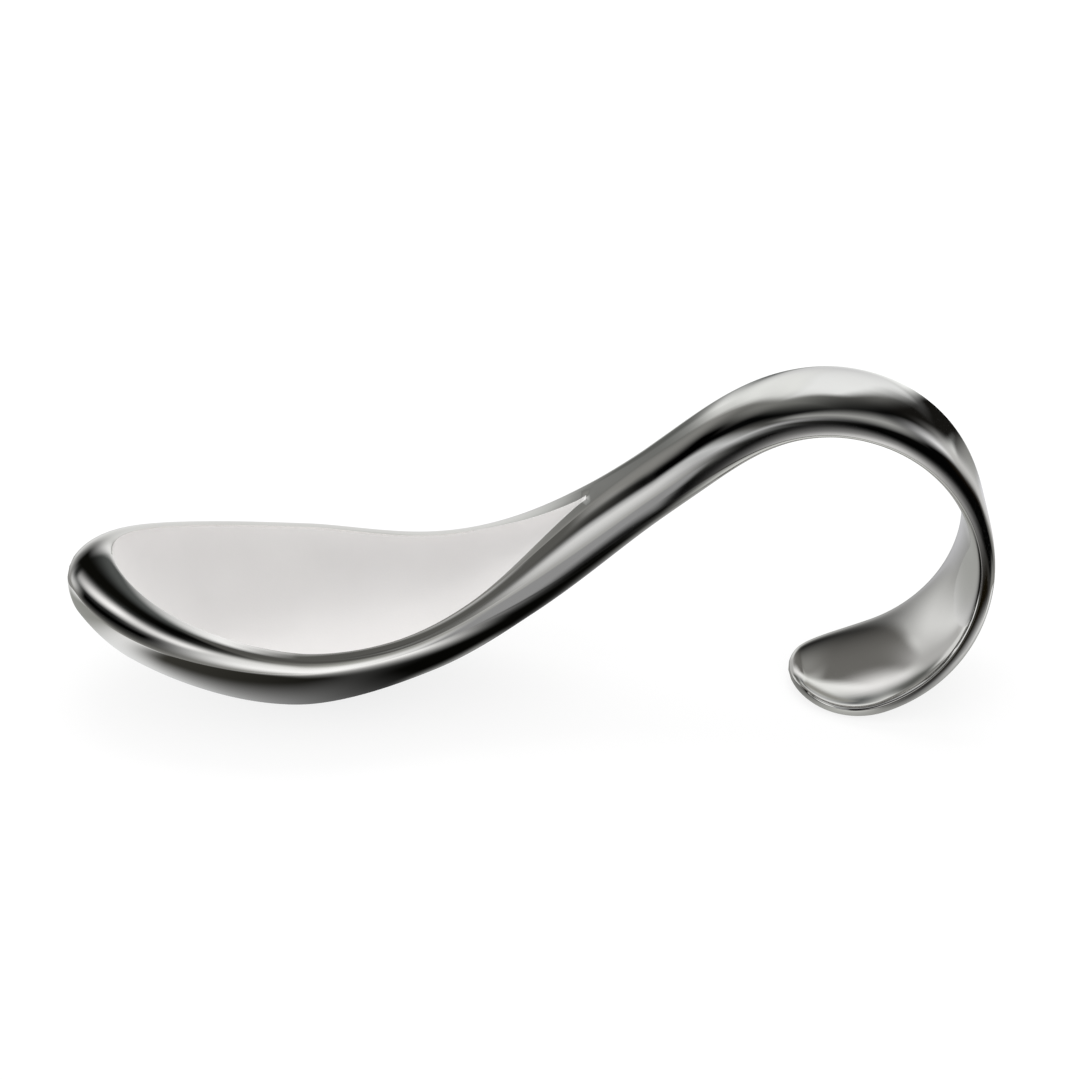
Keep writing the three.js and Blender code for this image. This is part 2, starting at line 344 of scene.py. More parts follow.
def spoonTree():
    tree = bpy.data.node_groups.new("spoon loft", "GeometryNodeTree")
    sockets = tree.interface
    sockets.new_socket("Geometry", in_out="INPUT", socket_type="NodeSocketGeometry")
    for name, kind in (("Spine", "NodeSocketObject"), ("Stations", "NodeSocketObject"),
                       ("Section", "NodeSocketObject"), ("Station Count", "NodeSocketInt"),
                       ("Ring Points", "NodeSocketInt"), ("Spine Step", "NodeSocketFloat"),
                       ("Dish Fullness", "NodeSocketFloat"), ("Table Height", "NodeSocketFloat"),
                       ("Weld Distance", "NodeSocketFloat"), ("Steel", "NodeSocketMaterial")):
        sockets.new_socket(name, in_out="INPUT", socket_type=kind)
    sockets.new_socket("Geometry", in_out="OUTPUT", socket_type="NodeSocketGeometry")
    given = addNode(tree, "NodeGroupInput", out=None).outputs

    # which station and which point of the section each vertex of the grid is
    grid = addNode(tree, "GeometryNodeMeshGrid",
                   {"Vertices X": given["Station Count"], "Vertices Y": given["Ring Points"]})
    index = addNode(tree, "GeometryNodeInputIndex")
    rings = addNode(tree, "ShaderNodeMath", {0: index, 1: given["Ring Points"]},
                    operation="DIVIDE")
    station = addNode(tree, "ShaderNodeMath", {0: rings}, operation="FLOOR")
    ringPoint = addNode(tree, "ShaderNodeMath", {0: index, 1: given["Ring Points"]},
                        operation="MODULO")

    sampled = {}
    for source, at, names in (("Stations", station, ("outline", "inward", "heights", "dish")),
                              ("Section", ringPoint, ("rim", "bowl", "back"))):
        points = addNode(tree, "GeometryNodeObjectInfo", {"Object": given[source]}, out="Geometry")
        for name in names:
            named = addNode(tree, "GeometryNodeInputNamedAttribute", {"Name": name},
                            data_type="FLOAT_VECTOR")
            vector = addNode(tree, "GeometryNodeSampleIndex",
                             {"Geometry": points, "Value": named, "Index": at},
                             data_type="FLOAT_VECTOR", clamp=True)
            sampled[name] = addNode(tree, "ShaderNodeSeparateXYZ", {0: vector}, out=None).outputs
    place, half, roll = sampled["outline"]
    inAlong, inAcross, rollPower = sampled["inward"]
    face, depth, fullness = sampled["heights"]
    lip, dishDepth, isSunk = sampled["dish"]
    rimCosine, rimSine, side = sampled["rim"]
    bowlShare, bowlOpen, isFace = sampled["bowl"]
    backShare, backOpen, _ = sampled["back"]

    # place along and distance across, with the rim rolled along the outline's inward normal
    leftOver = addNode(tree, "ShaderNodeMath", {0: rimCosine, 1: rollPower}, operation="POWER")
    rise = addNode(tree, "ShaderNodeMath", {0: rimSine, 1: rollPower}, operation="POWER")
    inset = addNode(tree, "ShaderNodeMath", {0: 1.0, 1: leftOver}, operation="SUBTRACT")
    insetLength = addNode(tree, "ShaderNodeMath", {0: inset, 1: roll}, operation="MULTIPLY")
    alongAt = addNode(tree, "ShaderNodeMath", {0: insetLength, 1: inAlong, 2: place},
                      operation="MULTIPLY_ADD")
    rimAcross = addNode(tree, "ShaderNodeMath", {0: insetLength, 1: inAcross, 2: half},
                        operation="MULTIPLY_ADD")
    backAcross = addNode(tree, "ShaderNodeMath", {0: backShare, 1: half}, operation="MULTIPLY")
    dishAcross = addNode(tree, "ShaderNodeMath", {0: bowlShare, 1: lip, 2: backAcross},
                         operation="MULTIPLY_ADD")
    across = addNode(tree, "ShaderNodeMath", {0: rimAcross, 1: side, 2: dishAcross},
                     operation="MULTIPLY_ADD")

    # height over the blank's middle plane: rolled face, dish and keel
    dishCurve = addNode(tree, "ShaderNodeMath", {0: bowlOpen, 1: given["Dish Fullness"]},
                        operation="POWER")
    dishDrop = addNode(tree, "ShaderNodeMath", {0: dishCurve, 1: dishDepth}, operation="MULTIPLY")
    faceRise = addNode(tree, "ShaderNodeMath", {0: rise, 1: face}, operation="MULTIPLY")
    faceSide = addNode(tree, "ShaderNodeMath", {0: faceRise, 1: dishDrop}, operation="SUBTRACT")
    backCurve = addNode(tree, "ShaderNodeMath", {0: backOpen, 1: fullness}, operation="POWER")
    isBack = addNode(tree, "ShaderNodeMath", {0: backOpen, 1: 0.0}, operation="GREATER_THAN")
    backMasked = addNode(tree, "ShaderNodeMath", {0: backCurve, 1: isBack}, operation="MULTIPLY")
    backDrop = addNode(tree, "ShaderNodeMath", {0: backMasked, 1: depth}, operation="MULTIPLY")
    height = addNode(tree, "ShaderNodeMath", {0: faceSide, 1: backDrop}, operation="SUBTRACT")

    # the bend: the spine's position and slope, read between its two nearest points
    spine = addNode(tree, "GeometryNodeObjectInfo", {"Object": given["Spine"]}, out="Geometry")
    spineAt = addNode(tree, "ShaderNodeMath", {0: alongAt, 1: given["Spine Step"]},
                      operation="DIVIDE")
    spineBefore = addNode(tree, "ShaderNodeMath", {0: spineAt}, operation="FLOOR")
    spineAfter = addNode(tree, "ShaderNodeMath", {0: spineBefore, 1: 1.0}, operation="ADD")
    between = addNode(tree, "ShaderNodeMath", {0: spineAt}, operation="FRACT")
    bend = addNode(tree, "GeometryNodeInputNamedAttribute", {"Name": "bend"},
                   data_type="FLOAT_VECTOR")
    ends = [addNode(tree, "GeometryNodeSampleIndex",
                    {"Geometry": spine, "Value": bend, "Index": at},
                    data_type="FLOAT_VECTOR", clamp=True) for at in (spineBefore, spineAfter)]
    bentAt = addNode(tree, "ShaderNodeMix", {0: between, 4: ends[0], 5: ends[1]}, out=1,
                     data_type="VECTOR")
    spineX, slope, spineZ = addNode(tree, "ShaderNodeSeparateXYZ", {0: bentAt}, out=None).outputs
    slopeSine = addNode(tree, "ShaderNodeMath", {0: slope}, operation="SINE")
    slopeCosine = addNode(tree, "ShaderNodeMath", {0: slope}, operation="COSINE")
    backward = addNode(tree, "ShaderNodeMath", {0: height, 1: slopeSine}, operation="MULTIPLY")
    x = addNode(tree, "ShaderNodeMath", {0: spineX, 1: backward}, operation="SUBTRACT")
    z = addNode(tree, "ShaderNodeMath", {0: height, 1: slopeCosine, 2: spineZ},
                operation="MULTIPLY_ADD")
    ground = addNode(tree, "ShaderNodeMath", {0: z, 1: given["Table Height"]}, operation="MAXIMUM")
    bent = addNode(tree, "ShaderNodeCombineXYZ", {0: x, 1: across, 2: ground})
    metres = addNode(tree, "ShaderNodeVectorMath", {0: bent, 3: millimetre}, operation="SCALE")

    # kept on the points: the dish's mask, its lip, and the place on the flat blank
    placed = addNode(tree, "GeometryNodeSetPosition", {"Geometry": grid, "Position": metres})
    isDish = addNode(tree, "ShaderNodeMath", {0: isFace, 1: isSunk}, operation="MULTIPLY")
    dished = addNode(tree, "GeometryNodeStoreNamedAttribute",
                     {"Geometry": placed, "Name": "dish", "Value": isDish},
                     data_type="FLOAT", domain="POINT")
    nearlyNothing = 0.0001
    isOuter = addNode(tree, "ShaderNodeMath", {0: bowlOpen, 1: nearlyNothing},
                      operation="LESS_THAN")
    isLip = addNode(tree, "ShaderNodeMath", {0: isOuter, 1: isDish}, operation="MULTIPLY")
    lipped = addNode(tree, "GeometryNodeStoreNamedAttribute",
                     {"Geometry": dished, "Name": "lip", "Value": isLip},
                     data_type="FLOAT", domain="POINT")
    onBlank = addNode(tree, "ShaderNodeCombineXYZ", {0: alongAt, 1: across, 2: height})
    mapped = addNode(tree, "GeometryNodeStoreNamedAttribute",
                     {"Geometry": lipped, "Name": "blank", "Value": onBlank},
                     data_type="FLOAT_VECTOR", domain="POINT")
    welded = addNode(tree, "GeometryNodeMergeByDistance",
                     {"Geometry": mapped, "Distance": given["Weld Distance"]})
    outward = addNode(tree, "GeometryNodeFlipFaces", {"Mesh": welded})
    shaded = addNode(tree, "GeometryNodeSetShadeSmooth", {"Geometry": outward})

    # the dish's lip stays crisp: its edges are the ones with both ends on the lip, where
    # welding leaves the mask well over this
    weldedMask = 0.25
    lipHere = addNode(tree, "GeometryNodeInputNamedAttribute", {"Name": "lip"}, data_type="FLOAT")
    onLip = addNode(tree, "FunctionNodeCompare", {"A": lipHere, "B": weldedMask},
                    operation="GREATER_THAN")
    bothEnds = addNode(tree, "GeometryNodeFieldOnDomain", {"Value": onLip}, data_type="BOOLEAN",
                       domain="POINT")
    crisp = addNode(tree, "GeometryNodeSetShadeSmooth",
                    {"Geometry": shaded, "Selection": bothEnds, "Shade Smooth": False},
                    domain="EDGE")
    real = addNode(tree, "GeometryNodeRealizeInstances", {"Geometry": crisp})
    steeled = addNode(tree, "GeometryNodeSetMaterial",
                      {"Geometry": real, "Material": given["Steel"]})
    addNode(tree, "NodeGroupOutput", {"Geometry": steeled}, out=None)
    return tree


def bend(spine, step, place, height):
    # where a point of the blank's middle plane comes to lie
    i = min(int(place / step), len(spine) - 2)
    x, z, slope = [mix(a, b, place / step - i) for a, b in zip(spine[i], spine[i + 1])]
    return x - height * math.sin(slope), z + height * math.cos(slope)


def stoodSpine(shape, fineness, stations):
    # turns and moves the bent spine until belly and loop touch the table together
    spine = bentSpine(shape, fineness)
    step = fineness["spineStep"]
    loopFrom = shape["bowlLength"] + shape["handleLength"] / 2
    for _ in range(fineness["tiltRounds"]):
        belly = min((bend(spine, step, s["outline"][0], -s["heights"][1]) for s in stations
                     if s["outline"][0] < shape["bowlLength"]), key=lambda p: p[1])
        loop = min((bend(spine, step, s["outline"][0], s["heights"][0]) for s in stations
                    if s["outline"][0] > loopFrom), key=lambda p: p[1])
        tilt = -math.atan2(loop[1] - belly[1], loop[0] - belly[0])
        turned = []
        for x, z, slope in spine:
            turned.append((x * math.cos(tilt) - z * math.sin(tilt),
                           x * math.sin(tilt) + z * math.cos(tilt), slope + tilt))
        spine = turned
    belly = min(bend(spine, step, s["outline"][0], -s["heights"][1])[1] for s in stations)
    ends = [bend(spine, step, s["outline"][0], h)[0] for s in stations
            for h in (-s["heights"][1], 0, s["heights"][0])]
    return [(x - (min(ends) + max(ends)) / 2, z - belly - shape["standingFlatDepth"], slope)
            for x, z, slope in spine]


def fitToSolid(mesh, solidBox):
    # the finer skin reaches a few hundredths past the faceted solid, so it is drawn in
    for axis in range(3):
        along = [vertex.co[axis] for vertex in mesh.vertices]
        low, high = min(along), max(along)
        scale = (solidBox[1][axis] - solidBox[0][axis]) / (high - low)
        for vertex, at in zip(mesh.vertices, along):
            vertex.co[axis] = solidBox[0][axis] + (at - low) * scale


def makeSpoon(shape, fineness, steel):
    stations = stationValues(shape, fineness)
    section = sectionValues(fineness)
    spine = stoodSpine(shape, fineness, stations)
    helpers = {
        "Spine": pointsObject("spine", [(x, 0, z) for x, z, _ in spine],
                              {"bend": [(x, slope, z) for x, z, slope in spine]}),
        "Stations": pointsObject("stations", [(s["outline"][0], 0, 0) for s in stations],
                                 {name: [s[name] for s in stations] for name in stations[0]}),
        "Section": pointsObject("section", [(k, 0, 0) for k in range(len(section))],
                                {name: [s[name] for s in section] for name in section[0]}),
    }
    holder = bpy.data.objects.new("spoonLoft", bpy.data.meshes.new("spoonLoft"))
    bpy.context.scene.collection.objects.link(holder)
    modifier = holder.modifiers.new("loft", "NODES")
    modifier.node_group = spoonTree()
    values = dict(helpers)
    values.update({"Station Count": len(stations), "Ring Points": len(section),
                   "Spine Step": fineness["spineStep"], "Dish Fullness": shape["dishFullness"],
                   "Table Height": 0.0, "Weld Distance": fineness["weldDistance"] * millimetre,
                   "Steel": steel})
    for item in modifier.node_group.interface.items_tree:
        if item.in_out == "INPUT" and item.name in values:
            modifier[item.identifier] = values[item.name]
    evaluated = holder.evaluated_get(bpy.context.evaluated_depsgraph_get())
    mesh = bpy.data.meshes.new_from_object(evaluated)
    mesh.name = "amuseBoucheSpoon"
    fitToSolid(mesh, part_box("spoon"))
    spoon = bpy.data.objects.new("amuseBoucheSpoon", mesh)
    bpy.context.scene.collection.objects.link(spoon)
    holder.modifiers.remove(modifier)
    for helper in list(helpers.values()) + [holder]:
        bpy.data.objects.remove(helper)
    return spoon


# 18/10 stainless steel: forged, ground and buffed to a mirror, so it draws the studio as
# crisp bands that waver a little where a hand held it to the wheel; the dish was blasted
# with fine glass beads, so it spreads light softly and holds no image. Patterns lie on the
# flat blank, so they follow the spoon round its bends. Most of the dish's light is spread
# evenly, not as a rough metal would: that would show the cards that stand there for the
# mirror alone

steelFinish = {
    "color": "#e8e7e5",
    "dullColor": "#dedcda",     # where fingers and washing have taken the first shine
    "roughness": 0.035,
    "dullRoughness": 0.075,
    "dullPatch": 9.0,
    "dullFrom": 0.3,            # noise values where the patches start and end to turn dull
    "dullTo": 0.75,
    "dullOctaves": 3.0,
    "dullOctaveShare": 0.55,
    "buffLine": 0.45,           # real lines are 0.02 apart, so these are drawn coarser to show
    "buffLineLength": 25.0,
    "buffLineDepth": 0.0007,
    "buffLineRoughness": 0.02,
    "buffLineOctaves": 2.0,
    "wheelWave": 7.0,           # the low waves that a soft wheel leaves
    "wheelWaveDepth": 0.004,
    "wornHeight": 0.5,          # up to here the table has rubbed it
    "wornRoughness": 0.16,
    "dishColor": "#e8e6e5",
    "dishDullColor": "#e1dfde",
    "dishRoughness": 0.4,
    "dishSpread": 0.78,         # share of the light that the beads spread evenly
    "dishEdge": 0.9,            # where between the lip's two rows of points the beads stop
    "beadDimple": 0.3,          # real dimples are 0.1 wide, drawn coarser to show
    "beadDepth": 0.006,
}


def stainlessSteel(finish):
    material = bpy.data.materials.new("18-10 stainless steel, mirror polished with a beaded dish")
    material.use_nodes = True
    tree = material.node_tree
    shader = tree.nodes["Principled BSDF"]
    blank = addNode(tree, "ShaderNodeAttribute", out="Vector", attribute_name="blank")
    dishMask = addNode(tree, "ShaderNodeAttribute", out="Fac", attribute_name="dish")
    dish = addNode(tree, "ShaderNodeMapRange", {"Value": dishMask, "From Min": finish["dishEdge"]})

    # patterns: slow dull patches, wheel waves, buffing lines along the spoon, bead dimples
    dull = addNode(tree, "ShaderNodeTexNoise",
                   {"Vector": blank, "Scale": 1 / finish["dullPatch"],
                    "Detail": finish["dullOctaves"], "Roughness": finish["dullOctaveShare"]})
    waves = addNode(tree, "ShaderNodeTexNoise",
                    {"Vector": blank, "Scale": 1 / finish["wheelWave"], "Detail": 1.0})
    stretch = (1 / finish["buffLineLength"], 1 / finish["buffLine"], 1 / finish["buffLine"])
    stretched = addNode(tree, "ShaderNodeVectorMath", {0: blank, 1: stretch}, operation="MULTIPLY")
    lines = addNode(tree, "ShaderNodeTexNoise",
                    {"Vector": stretched, "Scale": 1.0, "Detail": finish["buffLineOctaves"]})
    dimples = addNode(tree, "ShaderNodeTexNoise",
                      {"Vector": blank, "Scale": 1 / finish["beadDimple"], "Detail": 1.0})

    # where the spoon stands, the table has rubbed the shine away
    place = addNode(tree, "ShaderNodeTexCoord", out="Object")
    height = addNode(tree, "ShaderNodeSeparateXYZ", {0: place}, out="Z")
    worn = addNode(tree, "ShaderNodeMapRange",
                   {"Value": height, "From Max": finish["wornHeight"] * millimetre, "To Min": 1.0,
                    "To Max": 0.0}, interpolation_type="SMOOTHSTEP")

    # color
    fresh, dulled = linearColor(finish["color"]), linearColor(finish["dullColor"])
    shine = addNode(tree, "ShaderNodeMix", {0: dull, 6: fresh, 7: dulled}, out=2, data_type="RGBA")
    fresh, dulled = linearColor(finish["dishColor"]), linearColor(finish["dishDullColor"])
    beaded = addNode(tree, "ShaderNodeMix", {0: dull, 6: fresh, 7: dulled}, out=2,
                     data_type="RGBA")
    color = addNode(tree, "ShaderNodeMix", {0: dish, 6: shine, 7: beaded}, out=2,
                    data_type="RGBA")

    # roughness, and how much of it is a mirror
    patchy = addNode(tree, "ShaderNodeMapRange",
                     {"Value": dull, "From Min": finish["dullFrom"], "From Max": finish["dullTo"],
                      "To Min": finish["roughness"], "To Max": finish["dullRoughness"]})
    lined = addNode(tree, "ShaderNodeMath",
                    {0: lines, 1: finish["buffLineRoughness"], 2: patchy},
                    operation="MULTIPLY_ADD")
    rubbed = addNode(tree, "ShaderNodeMath",
                     {0: worn, 1: finish["wornRoughness"], 2: lined}, operation="MULTIPLY_ADD")
    rough = addNode(tree, "ShaderNodeMapRange",
                    {"Value": dish, "To Min": rubbed, "To Max": finish["dishRoughness"]})
    metal = addNode(tree, "ShaderNodeMapRange",
                    {"Value": dish, "To Min": 1.0, "To Max": 1 - finish["dishSpread"]})

    # relief: each pattern lies on the one before, and only the dish has beads
    beads = addNode(tree, "ShaderNodeMath", {0: dimples, 1: dish}, operation="MULTIPLY")
    relief = {}
    for pattern, depth in ((waves, "wheelWaveDepth"), (lines, "buffLineDepth"),
                           (beads, "beadDepth")):
        bump = addNode(tree, "ShaderNodeBump",
                       {"Height": pattern, "Distance": finish[depth] * millimetre, **relief})
        relief = {"Normal": bump}
    for socket, value in (("Base Color", color), ("Roughness", rough), ("Metallic", metal),
                          ("Normal", bump)):
        tree.links.new(value, shader.inputs[socket])
    return material


spoon = makeSpoon(spoonShape, spoonFineness, stainlessSteel(steelFinish))
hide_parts("spoon")
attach(spoon, "root")
print("spoon made:", len(spoon.data.polygons), "faces")


# Studio: white paper under the spoon and white light all round. For the mirror polish a
# small light tent with soft-edged white, grey and black cards stands close by, and only
# reflections see it, as a photographer masks a tent to draw the form of cutlery

studio = {
    "paperColor": "#ffffff",
    "worldColor": "#ffffff",
    "worldStrength": 1.0,
    "backLightPower": 1.6,      # watts, on a soft box above and behind the spoon
    "backLightSize": 400,
    "backLightPlace": (0, 260, 430),
    "shadowShare": 0.2,         # of the spoon's shadow, what the paper lets the camera see
    "paperReach": 3000,
    "tentRadii": (84, 37, 51),  # along X, Y and Z
    "tentColor": "#91918e",
    "tentSegments": 96,
    "tentRings": 48,
    "tableColor": "#fafbfb",    # the table, as the polish sees it
    "tableLift": 0.2,
    "tableReach": 1000,
    # colour, strength, azimuth, elevation, half width, half height, turn, softness: angles
    # in degrees, and lengths as shares of the tent's radius
    "tentCards": {
        "blackFrontRightHigh": ("#050505", 1.0, 325.5, 36.1, 0.394, 0.781, 100, 0.230),
        "whiteBackLow": ("#fdfffd", 1.03, 99.5, 5.9, 0.972, 0.271, 126, 0.060),
        "whiteBackLow2": ("#e9eae9", 1.0, 105.6, 15.4, 0.658, 0.227, 19, 0.222),
        "whiteFrontHigh": ("#feffff", 1.24, 252.9, 37.7, 0.456, 1.200, 50, 0.196),
        "greyLeftHigh": ("#595c5b", 1.0, 183.3, 44.2, 0.459, 0.333, 7, 0.215),
        "blackRightHigh": ("#181715", 1.0, 14.6, 49.5, 0.479, 0.073, 149, 0.060),
        "greyBackRightLow": ("#73726f", 1.0, 67.0, 23.3, 0.152, 0.127, 112, 0.060),
        "blackFrontLeftLow": ("#000000", 1.0, 205.7, 23.8, 0.176, 0.436, 85, 0.339),
        "whiteFrontRightHigh": ("#fcfdff", 1.2, 323.5, 59.6, 0.566, 0.031, 171, 0.090),
        "whiteLeftHigh": ("#ffffff", 1.3, 199.9, 34.7, 0.486, 0.057, 0, 0.111),
        "blackRightTop": ("#060707", 1.0, 340.7, 78.5, 0.463, 0.179, 89, 0.278),
        "blackFrontRightLow": ("#000000", 1.0, 292.9, -7.5, 0.959, 0.350, 85, 0.474),
        "blackLeftHigh": ("#0e0e0b", 1.0, 199.4, 46.0, 0.145, 0.774, 100, 0.226),
        "paleBackRightLow": ("#d0d0cf", 1.0, 51.5, -7.1, 0.069, 0.909, 32, 0.100),
        "blackBackRightLow": ("#000000", 1.0, 60.1, 12.2, 0.108, 0.088, 37, 0.181),
        "blackFrontLeftTop": ("#000000", 1.0, 215.0, 71.8, 0.165, 0.609, 17, 0.254),
        "greyFrontLeftHigh": ("#585855", 1.0, 236.1, 56.9, 0.161, 0.290, 44, 0.060),
        "whiteFrontLow": ("#ffffff", 1.3, 286.0, -5.3, 0.717, 0.031, 64, 0.399),
        "whiteBackHigh": ("#ffffff", 1.3, 70.4, 32.0, 0.151, 0.071, 149, 0.137),
        "greyBackHigh": ("#757674", 1.0, 85.3, 38.0, 0.213, 0.197, 128, 0.282),
        "paleBackLow": ("#c0c0bf", 1.0, 84.6, 11.7, 0.149, 0.227, 19, 0.166),
        "greyBackRightHigh": ("#626565", 1.0, 59.8, 47.0, 0.089, 0.184, 23, 0.221),
        "greyBackLeftTop": ("#5f5f5c", 1.0, 147.4, 70.5, 0.076, 0.445, 123, 0.101),
        "blackFrontRightLow2": ("#161208", 1.0, 307.6, 10.2, 0.085, 0.178, 123, 0.141),
        "blackFrontLow": ("#000000", 1.0, 287.7, -11.1, 0.089, 0.726, 8, 0.209),
        "whiteBackRightLow": ("#f7f8fe", 1.0, 49.6, 11.1, 0.030, 0.204, 51, 0.207),
        "paleFrontRightTop": ("#b2b3b1", 1.0, 333.6, 60.2, 0.149, 0.030, 145, 0.113),
        "paleFrontHigh": ("#c0c1bc", 1.0, 257.5, 34.2, 0.176, 0.199, 90, 0.548),
        "greyFrontLow": ("#9d9e9f", 1.0, 276.0, 22.1, 0.294, 0.089, 95, 0.060),
        "blackRightHigh2": ("#1c160d", 1.0, 11.9, 36.2, 0.031, 0.291, 47, 0.154),
        "whiteRightHigh": ("#fdffff", 1.02, 22.1, 59.8, 0.078, 0.148, 34, 0.060),
        "greyRightTop": ("#858683", 1.0, 16.9, 71.7, 0.208, 0.030, 16, 0.230),
        "greyBackRightHigh2": ("#9c9c97", 1.0, 51.3, 30.8, 0.036, 0.277, 164, 0.060),
        "paleFrontTop": ("#dcdedf", 1.0, 279.3, 66.2, 0.078, 0.247, 26, 0.273),
        "greyBackHigh2": ("#5e605d", 1.0, 84.8, 36.9, 0.295, 0.057, 107, 0.239),
        "paleBackRightHigh": ("#dddedf", 1.0, 39.2, 55.0, 0.132, 0.088, 172, 0.197),
        "blackFrontRightLow3": ("#37352d", 1.0, 293.4, 9.2, 0.092, 0.061, 20, 0.074),
    },
    # colour, strength, middle along X and Y, half width, half height, turn, softness: the
    # turn in degrees
    # the black and grey sheets under the spoon are painted shadow: they stand in for the table's
    # shade where the spoon stands, as the polish sees it, for these glowing sheets take no shadow
    "tableCards": {
        "greyFrontLeft": ("#45443f", 1.0, -39.8, -28.9, 18.5, 17.7, 161, 9.9),
        "blackFrontRight": ("#000000", 1.0, 33.6, -27.2, 16.8, 10.4, 17, 11.8),
        "blackUnderMiddle": ("#070705", 1.0, 6.1, -10.7, 45.6, 33.5, 171, 57.6),
        "whiteFrontLeft": ("#fefffe", 1.17, -35.2, -51.1, 43.8, 18.2, 16, 16.6),
        "whiteFrontRight": ("#edefeb", 1.0, 35.8, -30.7, 4.5, 23.3, 179, 15.5),
        "paleUnderRight": ("#a9aaa7", 1.0, 50.2, 15.2, 21.5, 24.8, 160, 26.0),
        "greyUnderLeft": ("#9e9f9b", 1.0, -76.8, -15.0, 36.5, 9.1, 64, 10.6),
        "greyUnderRight": ("#44463d", 1.0, 58.1, 17.6, 10.8, 4.6, 28, 4.0),
        "greyUnderMiddle": ("#90918f", 1.0, -8.6, 2.5, 7.0, 6.2, 9, 7.6),
    },
}


def softCardGroup():
    # a soft-edged card laid over what is behind it; the place is where on the tent a ray
    # ends, and across, up and facing are the card's own directions
    turnedAway = 0.2    # a card fades out over this share where the tent turns away from it
    group = bpy.data.node_groups.new("soft card", "ShaderNodeTree")
    for name, kind in (("Behind", "NodeSocketColor"), ("Place", "NodeSocketVector"),
                       ("Across", "NodeSocketVector"), ("Up", "NodeSocketVector"),
                       ("Facing", "NodeSocketVector"), ("Half Width", "NodeSocketFloat"),
                       ("Half Height", "NodeSocketFloat"), ("Softness", "NodeSocketFloat"),
                       ("Card", "NodeSocketColor")):
        group.interface.new_socket(name, in_out="INPUT", socket_type=kind)
    group.interface.new_socket("Color", in_out="OUTPUT", socket_type="NodeSocketColor")
    given = addNode(group, "NodeGroupInput", out=None).outputs
    front = addNode(group, "ShaderNodeVectorMath", {0: given["Place"], 1: given["Facing"]},
                    out="Value", operation="DOT_PRODUCT")
    cover = addNode(group, "ShaderNodeMapRange", {"Value": front, "From Max": turnedAway},
                    interpolation_type="SMOOTHSTEP")
    for direction, half in (("Across", "Half Width"), ("Up", "Half Height")):
        along = addNode(group, "ShaderNodeVectorMath", {0: given["Place"], 1: given[direction]},
                        out="Value", operation="DOT_PRODUCT")
        distance = addNode(group, "ShaderNodeMath", {0: along}, operation="ABSOLUTE")
        beyond = addNode(group, "ShaderNodeMath", {0: distance, 1: given[half]},
                         operation="SUBTRACT")
        share = addNode(group, "ShaderNodeMath", {0: beyond, 1: given["Softness"]},
                        operation="DIVIDE")
        edge = addNode(group, "ShaderNodeMapRange",
                       {"Value": share, "From Min": -0.5, "From Max": 0.5, "To Min": 1.0,
                        "To Max": 0.0}, interpolation_type="SMOOTHSTEP")
        cover = addNode(group, "ShaderNodeMath", {0: cover, 1: edge}, operation="MULTIPLY")
    laid = addNode(group, "ShaderNodeMix", {0: cover, 6: given["Behind"], 7: given["Card"]},
                   out=2, data_type="RGBA")
    addNode(group, "NodeGroupOutput", {"Color": laid}, out=None)
    return group


def cardFacing(azimuth, elevation, turn):
    # a card's across, up and facing directions
    facing = Vector((math.cos(elevation) * math.cos(azimuth),
                     math.cos(elevation) * math.sin(azimuth), math.sin(elevation)))
    level = Vector((-math.sin(azimuth), math.cos(azimuth), 0))
    upright = facing.cross(level)
    return (level * math.cos(turn) + upright * math.sin(turn),
            upright * math.cos(turn) - level * math.sin(turn), facing)


def glowing(name, plainColor, scale, cards, group):
    # a surface that glows plainly, with cards over it; scale brings its Object coordinates
    # to the cards' own measure
    material = bpy.data.materials.new(name)
    material.use_nodes = True
    tree = material.node_tree
    tree.nodes.clear()
    here = addNode(tree, "ShaderNodeTexCoord", out="Object")
    color = linearColor(plainColor)
    for card in cards:
        place = addNode(tree, "ShaderNodeVectorMath", {0: here, 1: scale, 2: card["offset"]},
                        operation="MULTIPLY_ADD")
        across, up, facing = card["directions"]
        shade = [channel * card["strength"] for channel in linearColor(card["color"])[:3]] + [1]
        halfWidth, halfHeight = card["halfSizes"]
        color = addNode(tree, "ShaderNodeGroup",
                        {"Behind": color, "Place": place, "Across": across, "Up": up,
                         "Facing": facing, "Half Width": halfWidth, "Half Height": halfHeight,
                         "Softness": card["softness"], "Card": shade}, node_tree=group)
    glow = addNode(tree, "ShaderNodeEmission", {"Color": color})
    addNode(tree, "ShaderNodeOutputMaterial", {"Surface": glow}, out=None)
    return material


def showOnlyInReflections(obj):
    obj.visible_camera = False
    obj.visible_diffuse = False
    obj.visible_shadow = False


def levelSheet(name, reach, height):
    # a square sheet in millimetres, level and centred
    reach, height = reach * millimetre, height * millimetre
    mesh = bpy.data.meshes.new(name)
    mesh.from_pydata([(-reach, -reach, height), (reach, -reach, height), (reach, reach, height),
                      (-reach, reach, height)], [], [(0, 1, 2, 3)])
    return mesh


